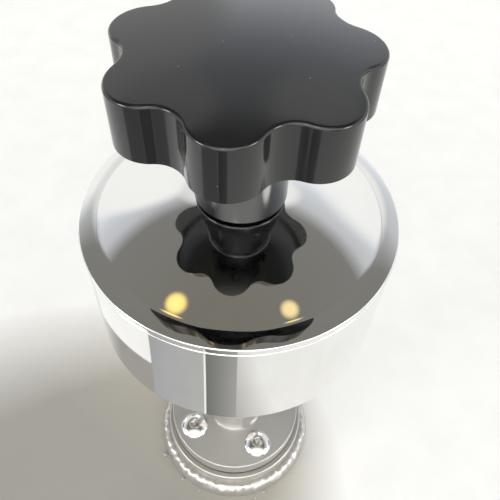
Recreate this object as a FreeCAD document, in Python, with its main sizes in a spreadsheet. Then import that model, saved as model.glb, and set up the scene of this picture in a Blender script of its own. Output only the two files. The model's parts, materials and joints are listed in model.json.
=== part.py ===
import FreeCAD, Part
import math
import os
import Sketcher

# Flow control valve with a star knob, a closed polished drum and a welded foot.
# Millimetres. The origin is the middle of the pad's underside, +Z up along the
# spindle, +Y towards the side inlet. The spindle only turns: its left-hand thread
# lifts the plug carrier, which a guide pin keeps from turning.

SIZES = {
    # welded pad and foot flange
    "pad_radius": 25,
    "pad_thickness": 10,
    "bead_width": 3.2,
    "bead_height": 5,
    "bead_round": 4.5,
    "gasket_thickness": 0.8,
    "flange_radius": 23.2,
    "flange_thickness": 6,
    "flange_bolt_circle": 16.8,
    "flange_bolt_count": 4,
    "flange_bolt_angle": 30,
    # button head screws of the flange
    "foot_screw_radius": 2.5,
    "foot_screw_length": 14,
    "foot_head_radius": 4.75,
    "foot_head_edge": 0.9,
    "foot_head_height": 2.75,
    "foot_head_top_radius": 3.1,
    "foot_socket_radius": 1.73,
    "foot_socket_depth": 1.6,
    "screw_hole_gap": 0.25,
    "thread_gap": 0.05,
    # stem and chamber of the body
    "passage_radius": 4.5,
    "outlet_radius": 6,
    "outlet_depth": 8,
    "stem_radius": 9.5,
    "stem_length": 40,
    "stem_socket_depth": 2.4,
    "neck_shoulder": 2.5,
    "neck_taper": 7,
    "chamber_radius": 10,
    "chamber_wall": 7.5,
    "seat_wall": 3.2,
    "seat_depth": 4,
    # side inlet
    "port_rise": 6,
    "port_radius": 3,
    "boss_radius": 9.5,
    "boss_reach": 25,
    "fitting_thread_radius": 6.5,
    "fitting_thread_length": 6.5,
    "fitting_reach": 34,
    "fitting_hex_radius": 9,
    "fitting_mouth_radius": 4.3,
    "fitting_mouth_depth": 8,
    "washer_radius": 8.4,
    "fitting_washer_thickness": 1.5,
    # throttling seat and plug
    "seat_radius": 7.5,
    "seat_height": 5,
    "seat_bore_radius": 3.5,
    "seat_chamfer": 1,
    "ring_section": 0.75,
    "ring_groove_height": 1.9,
    "plug_gap": 0.05,
    "plug_radius": 5,
    "plug_tip_radius": 1.8,
    "plug_tip_length": 8,
    "plug_neck_radius": 4.3,
    "plug_neck_height": 2.5,
    "plug_hollow_radius": 3.3,
    "plug_hollow_depth": 5,
    "carrier_rise": 11,
    "carrier_land": 4,
    "carrier_hub_height": 3,
    "carrier_hub_radius": 7.6,
    "running_gap": 0.05,
    "guide_pin_radius": 1.25,
    "guide_pin_circle": 5.7,
    "guide_pin_reach": 10.4,
    "spring_length": 11,
    "spring_wire_radius": 0.5,
    "spring_mean_radius": 8.5,
    "spring_pitch": 2.4,
    # bonnet, packing and thrust bearing of the spindle
    "spigot_depth": 4,
    "bonnet_seal_section": 0.6,
    "pocket_radius": 7.6,
    "thrust_nut_height": 4,
    "thrust_nut_bore": 3.6,
    "thrust_washer_thickness": 1,
    "bonnet_flange_height": 6,
    "bonnet_neck_radius": 9,
    "bonnet_neck_height": 14,
    "box_floor_height": 2,
    "box_radius": 6.5,
    "packing_height": 3,
    "packing_count": 3,
    "gland_head_height": 4,
    "gland_hex_radius": 9,
    "bonnet_bolt_count": 4,
    "bonnet_screw_radius": 2,
    "bonnet_screw_depth": 8,
    "bonnet_head_radius": 3.5,
    "bonnet_head_height": 4,
    "bonnet_socket_radius": 1.73,
    "bonnet_socket_depth": 2,
    "blind_hole_spare": 1.5,
    # drum
    "cap_radius": 35.5,
    "skirt_height": 32,
    "shell_wall": 1.5,
    "plate_thickness": 4,
    "plate_recess": 1,
    "rim_band": 1.8,
    "lip_depth": 3,
    "dome_rise": 6.1,
    "shoulder_drop": 0.4,
    "shoulder_width": 4.2,
    "shoulder_round": 24,
    "dome_wall": 1.5,
    "dome_hole_radius": 6.5,
    "bush_collar_radius": 8.5,
    "bush_collar_height": 1.2,
    # spindle and star knob
    "spindle_radius": 4,
    "thread_radius": 3,
    "thread_end_rise": 2.5,
    "collar_radius": 7,
    "collar_height": 3,
    "knob_gap": 0.4,
    "hub_radius": 10,
    "hub_height": 21.9,
    "head_height": 11.9,
    "head_roof": 4.8,
    "tip_radius": 25,
    "notch_radius": 20.5,
    "lobe_round": 7,
    "lobe_count": 7,
    "lobe_angle": 5.65,
    "top_edge_round": 0.8,
    "bottom_edge_round": 1.6,
    "insert_radius": 6,
    "insert_recess": 1,
    "grub_radius": 2,
    "grub_rise": 7,
    "grub_length": 5.5,
    "grub_socket_radius": 1.15,
    "grub_socket_depth": 2,
}

# Heights above the pad's underside, and sizes that follow from the ones above.
LEVELS = {
    "pad_bead_radius": "=Sizes.pad_radius + Sizes.bead_width",
    "flange_bottom": "=Sizes.pad_thickness + Sizes.gasket_thickness",
    "flange_top": "=flange_bottom + Sizes.flange_thickness",
    "foot_head_top": "=flange_top + Sizes.foot_head_height",
    "foot_screw_end": "=flange_top - Sizes.foot_screw_length",
    "stem_top": "=flange_top + Sizes.stem_length",
    "stem_end": "=stem_top + Sizes.stem_socket_depth",
    "neck_radius": "=Sizes.stem_radius + Sizes.neck_shoulder",
    "chamber_base": "=stem_top + Sizes.neck_taper",
    "body_radius": "=Sizes.chamber_radius + Sizes.chamber_wall",
    "bonnet_bolt_circle": "=Sizes.chamber_radius + Sizes.chamber_wall / 2",
    "seat_floor": "=stem_top + Sizes.seat_wall",
    "chamber_floor": "=seat_floor + Sizes.seat_depth",
    "seat_top": "=seat_floor + Sizes.seat_height",
    "seat_edge": "=seat_top - Sizes.seat_chamfer",
    "seat_mouth_radius": "=Sizes.seat_bore_radius + Sizes.seat_chamfer",
    "seat_groove_radius": "=Sizes.seat_radius - 2 * Sizes.ring_section",
    "seat_groove_low": "=seat_floor + 1",
    "seat_groove_high": "=seat_groove_low + Sizes.ring_groove_height",
    "port_height": "=chamber_floor + Sizes.port_rise",
    "carrier_bottom": "=chamber_floor + Sizes.carrier_rise",
    "carrier_step": "=carrier_bottom + Sizes.carrier_land",
    "carrier_top": "=carrier_step + Sizes.carrier_hub_height",
    "carrier_radius": "=Sizes.chamber_radius - Sizes.running_gap",
    "carrier_bore": "=Sizes.thread_radius + Sizes.running_gap",
    "carrier_groove_radius": "=carrier_radius - 2 * Sizes.ring_section",
    "carrier_groove_low": "=carrier_bottom + 1",
    "carrier_groove_high": "=carrier_groove_low + Sizes.ring_groove_height",
    "plug_tip": "=seat_edge - Sizes.plug_tip_length",
    "plug_edge_radius": "=Sizes.seat_bore_radius - Sizes.plug_gap",
    "plug_shoulder": "=seat_edge + Sizes.plug_radius - plug_edge_radius",
    "spring_wire_level": "=carrier_step + Sizes.spring_wire_radius",
    "spring_rise": "=Sizes.spring_length - 2 * Sizes.spring_wire_radius",
    "plug_top": "=carrier_bottom + Sizes.plug_neck_height",
    "plug_hollow_floor": "=plug_top - Sizes.plug_hollow_depth - Sizes.running_gap",
    "spigot_bottom": "=carrier_step + Sizes.spring_length",
    "spigot_radius": "=Sizes.chamber_radius - Sizes.thread_gap",
    "spigot_groove_radius": "=Sizes.chamber_radius - 2 * Sizes.bonnet_seal_section",
    "spigot_groove_low": "=spigot_bottom + 1",
    "spigot_groove_high": "=spigot_groove_low + 1.4",
    "body_top": "=spigot_bottom + Sizes.spigot_depth",
    "plate_top": "=body_top + Sizes.plate_thickness",
    "plate_radius": "=Sizes.cap_radius - Sizes.shell_wall",
    "bonnet_top": "=plate_top + Sizes.bonnet_flange_height",
    "neck_top": "=bonnet_top + Sizes.bonnet_neck_height",
    "box_floor": "=bonnet_top + Sizes.box_floor_height",
    "gland_bottom": "=box_floor + Sizes.packing_count * Sizes.packing_height",
    "gland_top": "=neck_top + Sizes.gland_head_height",
    "gland_spigot_radius": "=Sizes.box_radius - Sizes.thread_gap",
    "spindle_bore": "=Sizes.spindle_radius + Sizes.running_gap",
    "thrust_nut_top": "=spigot_bottom + Sizes.thrust_nut_height",
    "lower_washer_top": "=thrust_nut_top + Sizes.thrust_washer_thickness",
    "collar_bottom": "=lower_washer_top + Sizes.running_gap",
    "collar_top": "=collar_bottom + Sizes.collar_height",
    "upper_washer_bottom": "=collar_top + Sizes.running_gap",
    "pocket_top": "=upper_washer_bottom + Sizes.thrust_washer_thickness",
    "thread_end": "=carrier_bottom + Sizes.thread_end_rise",
    "bonnet_screw_end": "=body_top - Sizes.bonnet_screw_depth",
    "bonnet_head_top": "=bonnet_top + Sizes.bonnet_head_height",
    "skirt_bottom": "=body_top - Sizes.plate_recess",
    "rim_level": "=skirt_bottom + Sizes.skirt_height",
    "shell_top": "=rim_level - Sizes.rim_band",
    "lip_bottom": "=shell_top - Sizes.lip_depth",
    "lip_inner_radius": "=plate_radius - Sizes.dome_wall",
    "lip_root": "=rim_level - Sizes.dome_wall",
    "shoulder_radius": "=Sizes.cap_radius - Sizes.shoulder_width",
    "dome_sag": "=Sizes.dome_rise - Sizes.shoulder_drop",
    "dome_round": "=(dome_sag ^ 2 + shoulder_radius ^ 2) / (2 * dome_sag)",
    "dome_centre": "=rim_level + Sizes.dome_rise - dome_round",
    "dome_edge_level": "=dome_centre + sqrt(dome_round ^ 2 - shoulder_radius ^ 2)",
    "dome_hole_level": "=dome_centre + sqrt(dome_round ^ 2 - Sizes.dome_hole_radius ^ 2)",
    "dome_edge_inside": "=dome_edge_level - Sizes.dome_wall",
    "dome_hole_inside": "=dome_hole_level - Sizes.dome_wall",
    "bush_collar_level": "=dome_centre - Sizes.dome_wall"
                         " + sqrt(dome_round ^ 2 - Sizes.bush_collar_radius ^ 2)",
    "bush_bottom": "=bush_collar_level - Sizes.bush_collar_height",
    "hub_bottom": "=dome_hole_level + Sizes.knob_gap",
    "head_bottom": "=hub_bottom + Sizes.hub_height",
    "head_top": "=head_bottom + Sizes.head_height",
    "spindle_top": "=head_top - Sizes.head_roof",
    "insert_bottom": "=hub_bottom + Sizes.insert_recess",
    "grub_level": "=hub_bottom + Sizes.grub_rise",
    "pitch_angle": "=360 / Sizes.lobe_count",
}

DOC = FreeCAD.newDocument("flow_control_valve")


def fill_sheet(name, cells):
    """A sheet with one named value in each row."""
    sheet = DOC.addObject("Spreadsheet::Sheet", name)
    for row, (alias, content) in enumerate(cells.items(), start=1):
        sheet.set("A%d" % row, alias)
        sheet.set("B%d" % row, str(content))
        sheet.setAlias("B%d" % row, alias)
    DOC.recompute()
    return sheet


sizes = fill_sheet("Sizes", SIZES)
levels = fill_sheet("Levels", LEVELS)


def value(name):
    """The number behind a named size or level."""
    return float(getattr(sizes if name in SIZES else levels, name))


def bound(name):
    """The expression that reads a named size or level."""
    return ("Sizes." if name in SIZES else "Levels.") + name


def bind(item, expressions):
    """Bind properties of an object to expressions on the sheets."""
    for prop, expression in expressions.items():
        item.setExpression(prop, expression)


def new_body(name):
    body = DOC.addObject("PartDesign::Body", name)
    body.Label = name
    body.AllowCompound = True
    return body


def datum(body, role):
    """An origin plane or axis of a body, found by its role."""
    return next(item for item in body.Origin.OriginFeatures if item.Role == role)


def attached(body, kind, name, role="XY_Plane"):
    item = body.newObject(kind, name)
    item.AttachmentSupport = [(datum(body, role), "")]
    item.MapMode = "FlatFace"
    return item


def arc_between(start, end, radius, turn):
    """Circle arc from start to end; turn is ccw or cw seen along the outline."""
    chord = end - start
    rise = math.sqrt(radius ** 2 - (chord.Length / 2) ** 2)
    left = FreeCAD.Vector(-chord.y, chord.x, 0).normalize()
    side = 1 if turn == "ccw" else -1
    centre = (start + end) * 0.5 + left * rise * side
    angles = [math.atan2(point.y - centre.y, point.x - centre.x) for point in (start, end)]
    if turn == "cw":
        angles.reverse()
    circle = Part.Circle(centre, FreeCAD.Vector(0, 0, 1), radius)
    return Part.ArcOfCircle(circle, angles[0], angles[1])


def outline(body, name, points):
    """Closed sketch in the XZ plane from (radius, level) names; a third and fourth
    entry make the edge that starts there an arc of that radius and turn."""
    sketch = attached(body, "Sketcher::SketchObject", name, "XZ_Plane")
    corners = [FreeCAD.Vector(0 if p[0] == 0 else value(p[0]), 0 if p[1] == 0 else value(p[1]), 0)
               for p in points]
    ends = []
    for index, point in enumerate(points):
        start = corners[index]
        end = corners[(index + 1) % len(points)]
        if len(point) > 2:
            sketch.addGeometry(arc_between(start, end, value(point[2]), point[3]))
            ends.append((1, 2) if point[3] == "ccw" else (2, 1))
            rule = sketch.addConstraint(Sketcher.Constraint("Radius", index, value(point[2])))
            sketch.setExpression("Constraints[%d]" % rule, bound(point[2]))
        else:
            sketch.addGeometry(Part.LineSegment(start, end))
            ends.append((1, 2))
    for index, point in enumerate(points):
        before = index - 1 if index else len(points) - 1
        sketch.addConstraint(Sketcher.Constraint(
            "Coincident", before, ends[before][1], index, ends[index][0]))
        for axis, kind, size in ((-2, "DistanceX", point[0]), (-1, "DistanceY", point[1])):
            if size == 0:
                sketch.addConstraint(Sketcher.Constraint(
                    "PointOnObject", index, ends[index][0], axis))
                continue
            rule = sketch.addConstraint(Sketcher.Constraint(
                kind, -1, 1, index, ends[index][0], value(size)))
            sketch.setExpression("Constraints[%d]" % rule, bound(size))
    return sketch


def revolve(body, name, points):
    """Solid of revolution about the valve's axis."""
    sketch = outline(body, name + "_outline", points)
    turn = body.newObject("PartDesign::Revolution", name)
    turn.Profile = sketch
    turn.ReferenceAxis = (sketch, ["V_Axis"])
    turn.Angle = 360
    body.Tip = turn
    return turn


def turned(name, points):
    body = new_body(name)
    revolve(body, name + "_turned", points)
    return body


def ring(name, inner, outer, low, high):
    return turned(name, [(inner, low), (outer, low), (outer, high), (inner, high)])


def primitive(body, kind, name, expressions, along="Z"):
    """Cylinder or prism; along Y it points away from the XZ plane towards +Y."""
    item = attached(body, "PartDesign::" + kind, name, "XZ_Plane" if along == "Y" else "XY_Plane")
    if along == "Y":
        item.AttachmentOffset = FreeCAD.Placement(
            FreeCAD.Vector(), FreeCAD.Rotation(FreeCAD.Vector(1, 0, 0), 180))
    bind(item, expressions)
    body.Tip = item
    return item


def repeat_round(body, name, features, count):
    pattern = body.newObject("PartDesign::PolarPattern", name)
    pattern.Originals = features
    pattern.Axis = (datum(body, "Z_Axis"), [""])
    pattern.Angle = 360
    pattern.setExpression("Occurrences", bound(count))
    body.Tip = pattern
    return pattern


FOOT_X = "Sizes.flange_bolt_circle * cos(Sizes.flange_bolt_angle * 1 deg)"
FOOT_Y = "Sizes.flange_bolt_circle * sin(Sizes.flange_bolt_angle * 1 deg)"
BONNET_X = "Levels.bonnet_bolt_circle * cos(45 deg)"


def foot_holes(body, radius, low, high):
    """Three holes on the foot's bolt circle, between two levels."""
    hole = primitive(body, "SubtractiveCylinder", body.Name + "_hole", {
        "Radius": radius, "Height": "%s - (%s)" % (high, low),
        "AttachmentOffset.Base.x": FOOT_X, "AttachmentOffset.Base.y": FOOT_Y,
        "AttachmentOffset.Base.z": low})
    repeat_round(body, body.Name + "_holes", [hole], "flange_bolt_count")


def bonnet_holes(body, radius, low, high):
    """Holes for the bonnet's screws, between two levels."""
    hole = primitive(body, "SubtractiveCylinder", body.Name + "_bonnet_hole", {
        "Radius": radius, "Height": "%s - (%s)" % (high, low),
        "AttachmentOffset.Base.x": BONNET_X, "AttachmentOffset.Base.y": BONNET_X,
        "AttachmentOffset.Base.z": low})
    repeat_round(body, body.Name + "_bonnet_holes", [hole], "bonnet_bolt_count")


def weld_pad():
    body = turned("weld_pad", [
        ("outlet_radius", 0), ("pad_radius", 0), ("pad_radius", "pad_thickness"),
        ("passage_radius", "pad_thickness"), ("passage_radius", "outlet_depth"),
        ("outlet_radius", "outlet_depth")])
    foot_holes(body, "Sizes.foot_screw_radius + Sizes.thread_gap",
               "Levels.foot_screw_end - Sizes.blind_hole_spare", "Sizes.pad_thickness")
    return body


def weld_bead():
    return turned("weld_bead", [
        ("pad_radius", 0), ("pad_bead_radius", 0, "bead_round", "ccw"),
        ("pad_radius", "bead_height")])


def base_gasket():
    body = ring("base_gasket", "passage_radius", "flange_radius", "pad_thickness", "flange_bottom")
    foot_holes(body, "Sizes.foot_screw_radius + Sizes.screw_hole_gap",
               "Sizes.pad_thickness", "Levels.flange_bottom")
    return body


def foot_flange():
    body = ring("foot_flange", "stem_radius", "flange_radius", "flange_bottom", "flange_top")
    foot_holes(body, "Sizes.foot_screw_radius + Sizes.screw_hole_gap",
               "Levels.flange_bottom", "Levels.flange_top")
    return body


def valve_body():
    """Chamber with a tapered neck that takes the stem, and the inlet boss at the side."""
    body = turned("valve_body", [
        (0, "stem_top"), ("neck_radius", "stem_top"), ("body_radius", "chamber_base"),
        ("body_radius", "body_top"), (0, "body_top")])
    primitive(body, "AdditiveCylinder", "inlet_boss", {
        "Radius": "Sizes.boss_radius", "Height": "Sizes.boss_reach",
        "AttachmentOffset.Base.y": "Levels.port_height"}, along="Y")
    for name, radius, low, high in (
            ("stem_socket", "Sizes.stem_radius", "Levels.stem_top", "Levels.stem_end"),
            ("passage", "Sizes.passage_radius", "Levels.stem_end", "Levels.seat_floor"),
            ("seat_recess", "Sizes.seat_radius", "Levels.seat_floor", "Levels.chamber_floor"),
            ("chamber", "Sizes.chamber_radius", "Levels.chamber_floor", "Levels.body_top")):
        primitive(body, "SubtractiveCylinder", name, {
            "Radius": radius, "Height": "%s - %s" % (high, low), "AttachmentOffset.Base.z": low})
    primitive(body, "SubtractiveCylinder", "inlet_passage", {
        "Radius": "Sizes.port_radius", "Height": "Sizes.boss_reach",
        "AttachmentOffset.Base.y": "Levels.port_height"}, along="Y")
    primitive(body, "SubtractiveCylinder", "inlet_thread", {
        "Radius": "Sizes.fitting_thread_radius + Sizes.thread_gap",
        "Height": "Sizes.fitting_thread_length + Sizes.fitting_washer_thickness",
        "AttachmentOffset.Base.y": "Levels.port_height",
        "AttachmentOffset.Base.z": "-(Sizes.boss_reach - Sizes.fitting_thread_length"
                                   " - Sizes.thread_gap)"}, along="Y")
    bonnet_holes(body, "Sizes.bonnet_screw_radius + Sizes.thread_gap",
                 "Levels.bonnet_screw_end - Sizes.blind_hole_spare", "Levels.body_top")
    return body


def screws(name, count, centre, stages):
    """Equal screws on a circle. Each stage is a primitive's kind, its base level and
    its sizes; the last one is the hexagon socket."""
    body = new_body(name)
    features = []
    for number, (kind, low, expressions) in enumerate(stages):
        place = {"AttachmentOffset.Base.x": centre[0], "AttachmentOffset.Base.y": centre[1],
                 "AttachmentOffset.Base.z": low}
        features.append(primitive(body, kind, "%s_%d" % (name, number), {**expressions, **place}))
    repeat_round(body, name + "_copies", features, count)
    return body


def flange_screws():
    """Button head screws that hold the foot on the pad."""
    return screws("flange_screws", "flange_bolt_count", (FOOT_X, FOOT_Y), [
        ("AdditiveCylinder", "Levels.foot_screw_end", {
            "Radius": "Sizes.foot_screw_radius", "Height": "Sizes.foot_screw_length"}),
        ("AdditiveCylinder", "Levels.flange_top", {
            "Radius": "Sizes.foot_head_radius", "Height": "Sizes.foot_head_edge"}),
        ("AdditiveCone", "Levels.flange_top + Sizes.foot_head_edge", {
            "Radius1": "Sizes.foot_head_radius", "Radius2": "Sizes.foot_head_top_radius",
            "Height": "Sizes.foot_head_height - Sizes.foot_head_edge"}),
        ("SubtractivePrism", "Levels.foot_head_top - Sizes.foot_socket_depth", {
            "Circumradius": "Sizes.foot_socket_radius", "Height": "Sizes.foot_socket_depth"})])


def bonnet_screws():
    """Cap screws that clamp the bonnet and the drum plate on the body."""
    return screws("bonnet_screws", "bonnet_bolt_count", (BONNET_X, BONNET_X), [
        ("AdditiveCylinder", "Levels.bonnet_screw_end", {
            "Radius": "Sizes.bonnet_screw_radius",
            "Height": "Levels.bonnet_top - Levels.bonnet_screw_end"}),
        ("AdditiveCylinder", "Levels.bonnet_top", {
            "Radius": "Sizes.bonnet_head_radius", "Height": "Sizes.bonnet_head_height"}),
        ("SubtractivePrism", "Levels.bonnet_head_top - Sizes.bonnet_socket_depth", {
            "Circumradius": "Sizes.bonnet_socket_radius",
            "Height": "Sizes.bonnet_socket_depth"})])


def seal_ring(name, outer, section, low):
    """O-ring that touches a wall at its outer radius and stands on a level."""
    torus = DOC.addObject("Part::Torus", name)
    torus.Label = name
    bind(torus, {"Radius1": "%s - %s" % (outer, section), "Radius2": section,
                 "Placement.Base.z": "%s + %s" % (low, section)})
    return torus


def seat_ring():
    return turned("seat_ring", [
        ("seat_bore_radius", "seat_floor"), ("seat_radius", "seat_floor"),
        ("seat_radius", "seat_groove_low"), ("seat_groove_radius", "seat_groove_low"),
        ("seat_groove_radius", "seat_groove_high"), ("seat_radius", "seat_groove_high"),
        ("seat_radius", "seat_top"), ("seat_mouth_radius", "seat_top"),
        ("seat_bore_radius", "seat_edge")])


def flow_plug():
    """Tapered plug that closes on the seat's chamfer, hollow above for the spindle's end."""
    return turned("flow_plug", [
        (0, "plug_tip"), ("plug_tip_radius", "plug_tip"), ("plug_edge_radius", "seat_edge"),
        ("plug_radius", "plug_shoulder"), ("plug_radius", "carrier_bottom"),
        ("plug_neck_radius", "carrier_bottom"), ("plug_neck_radius", "plug_top"),
        ("plug_hollow_radius", "plug_top"), ("plug_hollow_radius", "plug_hollow_floor"),
        (0, "plug_hollow_floor")])


def plug_carrier():
    """Nut on the spindle's thread: a sealed land that slides in the chamber and a hub."""
    body = turned("plug_carrier", [
        ("plug_neck_radius", "carrier_bottom"), ("carrier_radius", "carrier_bottom"),
        ("carrier_radius", "carrier_groove_low"), ("carrier_groove_radius", "carrier_groove_low"),
        ("carrier_groove_radius", "carrier_groove_high"), ("carrier_radius", "carrier_groove_high"),
        ("carrier_radius", "carrier_step"), ("carrier_hub_radius", "carrier_step"),
        ("carrier_hub_radius", "carrier_top"), ("carrier_bore", "carrier_top"),
        ("carrier_bore", "plug_top"), ("plug_neck_radius", "plug_top")])
    primitive(body, "SubtractiveCylinder", "guide_hole", {
        "Radius": "Sizes.guide_pin_radius + Sizes.running_gap",
        "Height": "Levels.carrier_top - Levels.carrier_bottom",
        "AttachmentOffset.Base.x": "Sizes.guide_pin_circle",
        "AttachmentOffset.Base.z": "Levels.carrier_bottom"})
    return body


def guide_pin():
    """Dowel in the thrust nut that keeps the carrier from turning."""
    body = new_body("guide_pin")
    primitive(body, "AdditiveCylinder", "dowel", {
        "Radius": "Sizes.guide_pin_radius",
        "Height": "Sizes.guide_pin_reach + Sizes.thrust_nut_height",
        "AttachmentOffset.Base.x": "Sizes.guide_pin_circle",
        "AttachmentOffset.Base.z": "Levels.spigot_bottom - Sizes.guide_pin_reach"})
    return body


def plug_spring():
    """Helical spring between the bonnet's spigot and the carrier's step."""
    body = new_body("plug_spring")
    sketch = attached(body, "Sketcher::SketchObject", "wire_section", "XZ_Plane")
    centre = FreeCAD.Vector(value("spring_mean_radius"), value("spring_wire_level"), 0)
    sketch.addGeometry(Part.Circle(centre, FreeCAD.Vector(0, 0, 1), value("spring_wire_radius")))
    for kind, name in (("DistanceX", "spring_mean_radius"), ("DistanceY", "spring_wire_level")):
        rule = sketch.addConstraint(Sketcher.Constraint(kind, -1, 1, 0, 3, value(name)))
        sketch.setExpression("Constraints[%d]" % rule, bound(name))
    rule = sketch.addConstraint(Sketcher.Constraint("Radius", 0, value("spring_wire_radius")))
    sketch.setExpression("Constraints[%d]" % rule, "Sizes.spring_wire_radius")
    coil = body.newObject("PartDesign::AdditiveHelix", "coil")
    coil.Profile = sketch
    coil.ReferenceAxis = (sketch, ["V_Axis"])
    coil.Mode = 0
    bind(coil, {"Pitch": "Sizes.spring_pitch", "Height": "Levels.spring_rise"})
    body.Tip = coil
    return body


def thrust_nut():
    """Screwed ring in the bonnet's pocket, under the spindle's collar."""
    body = ring("thrust_nut", "thrust_nut_bore", "pocket_radius", "spigot_bottom",
                "thrust_nut_top")
    primitive(body, "SubtractiveCylinder", "dowel_hole", {
        "Radius": "Sizes.guide_pin_radius", "Height": "Sizes.thrust_nut_height",
        "AttachmentOffset.Base.x": "Sizes.guide_pin_circle",
        "AttachmentOffset.Base.z": "Levels.spigot_bottom"})
    return body


def bonnet():
    """Cover of the chamber with a spigot, a thrust pocket and a stuffing box."""
    body = turned("bonnet", [
        ("pocket_radius", "spigot_bottom"), ("spigot_radius", "spigot_bottom"),
        ("spigot_radius", "spigot_groove_low"), ("spigot_groove_radius", "spigot_groove_low"),
        ("spigot_groove_radius", "spigot_groove_high"), ("spigot_radius", "spigot_groove_high"),
        ("spigot_radius", "plate_top"), ("body_radius", "plate_top"),
        ("body_radius", "bonnet_top"), ("bonnet_neck_radius", "bonnet_top"),
        ("bonnet_neck_radius", "neck_top"), ("box_radius", "neck_top"),
        ("box_radius", "box_floor"), ("spindle_bore", "box_floor"),
        ("spindle_bore", "pocket_top"), ("pocket_radius", "pocket_top")])
    bonnet_holes(body, "Sizes.bonnet_screw_radius + Sizes.thread_gap",
                 "Levels.plate_top", "Levels.bonnet_top")
    return body


def packing_rings():
    """Stack of equal packing rings in the stuffing box."""
    rings = []
    for number in range(int(value("packing_count"))):
        low = "Levels.box_floor + %d * Sizes.packing_height" % number
        outer = DOC.addObject("Part::Cylinder", "packing_outer")
        bind(outer, {"Radius": "Sizes.box_radius", "Height": "Sizes.packing_height",
                     "Placement.Base.z": low})
        inner = DOC.addObject("Part::Cylinder", "packing_inner")
        bind(inner, {"Radius": "Levels.spindle_bore", "Height": "Sizes.packing_height",
                     "Placement.Base.z": low})
        cut = DOC.addObject("Part::Cut", "packing_ring")
        cut.Base = outer
        cut.Tool = inner
        rings.append(cut)
    group = DOC.addObject("Part::Compound", "packing_rings")
    group.Label = "packing_rings"
    group.Links = rings
    return group


def gland_nut():
    """Hexagon nut whose spigot presses the packing."""
    body = ring("gland_nut", "spindle_bore", "gland_spigot_radius", "gland_bottom", "gland_top")
    primitive(body, "AdditivePrism", "hexagon", {
        "Circumradius": "Sizes.gland_hex_radius", "Height": "Sizes.gland_head_height",
        "AttachmentOffset.Base.z": "Levels.neck_top"})
    primitive(body, "SubtractiveCylinder", "gland_bore", {
        "Radius": "Levels.spindle_bore", "Height": "Levels.gland_top - Levels.gland_bottom",
        "AttachmentOffset.Base.z": "Levels.gland_bottom"})
    return body


def inlet_fitting():
    """Hexagon reducer in the inlet boss, threaded inside for the pipe."""
    body = new_body("inlet_fitting")
    for kind, name, size, radius, low, high in (
            ("AdditivePrism", "fitting_hex", "Circumradius", "Sizes.fitting_hex_radius",
             "Sizes.boss_reach + Sizes.fitting_washer_thickness", "Sizes.fitting_reach"),
            ("AdditiveCylinder", "fitting_thread", "Radius", "Sizes.fitting_thread_radius",
             "(Sizes.boss_reach - Sizes.fitting_thread_length)", "Sizes.fitting_reach"),
            ("SubtractiveCylinder", "fitting_bore", "Radius", "Sizes.port_radius",
             "(Sizes.boss_reach - Sizes.fitting_thread_length)", "Sizes.fitting_reach"),
            ("SubtractiveCylinder", "fitting_mouth", "Radius", "Sizes.fitting_mouth_radius",
             "(Sizes.fitting_reach - Sizes.fitting_mouth_depth)", "Sizes.fitting_reach")):
        primitive(body, kind, name, {
            size: radius, "Height": "%s - (%s)" % (high, low),
            "AttachmentOffset.Base.y": "Levels.port_height",
            "AttachmentOffset.Base.z": "-(%s)" % low}, along="Y")
    return body


def inlet_washer():
    body = new_body("inlet_washer")
    for kind, name, radius in (
            ("AdditiveCylinder", "washer_disc", "Sizes.washer_radius"),
            ("SubtractiveCylinder", "washer_hole",
             "Sizes.fitting_thread_radius + Sizes.thread_gap")):
        primitive(body, kind, name, {
            "Radius": radius, "Height": "Sizes.fitting_washer_thickness",
            "AttachmentOffset.Base.y": "Levels.port_height",
            "AttachmentOffset.Base.z": "-Sizes.boss_reach"}, along="Y")
    return body


def drum_plate():
    body = ring("drum_plate", "chamber_radius", "plate_radius", "body_top", "plate_top")
    bonnet_holes(body, "Sizes.bonnet_screw_radius + Sizes.thread_gap",
                 "Levels.body_top", "Levels.plate_top")
    return body


def dome_cover():
    """Shallow dome with a flatter shoulder, a short rim and a lip inside the shell."""
    return turned("dome_cover", [
        ("dome_hole_radius", "dome_hole_inside", "dome_round", "cw"),
        ("shoulder_radius", "dome_edge_inside"), ("lip_inner_radius", "lip_root"),
        ("lip_inner_radius", "lip_bottom"), ("plate_radius", "lip_bottom"),
        ("plate_radius", "shell_top"), ("cap_radius", "shell_top"),
        ("cap_radius", "rim_level", "shoulder_round", "ccw"),
        ("shoulder_radius", "dome_edge_level", "dome_round", "ccw"),
        ("dome_hole_radius", "dome_hole_level")])


def dome_bush():
    """Bearing bush in the dome's hole, with a collar under the dome."""
    return turned("dome_bush", [
        ("spindle_bore", "bush_bottom"), ("bush_collar_radius", "bush_bottom"),
        ("bush_collar_radius", "bush_collar_level"), ("dome_hole_radius", "bush_collar_level"),
        ("dome_hole_radius", "dome_hole_level"), ("spindle_bore", "dome_hole_level")])


def spindle():
    """Stem with a thrust collar and a screwed lower end."""
    body = turned("spindle", [
        (0, "thread_end"), ("thread_radius", "thread_end"), ("thread_radius", "collar_bottom"),
        ("collar_radius", "collar_bottom"), ("collar_radius", "collar_top"),
        ("spindle_radius", "collar_top"), ("spindle_radius", "spindle_top"), (0, "spindle_top")])
    return body


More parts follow.
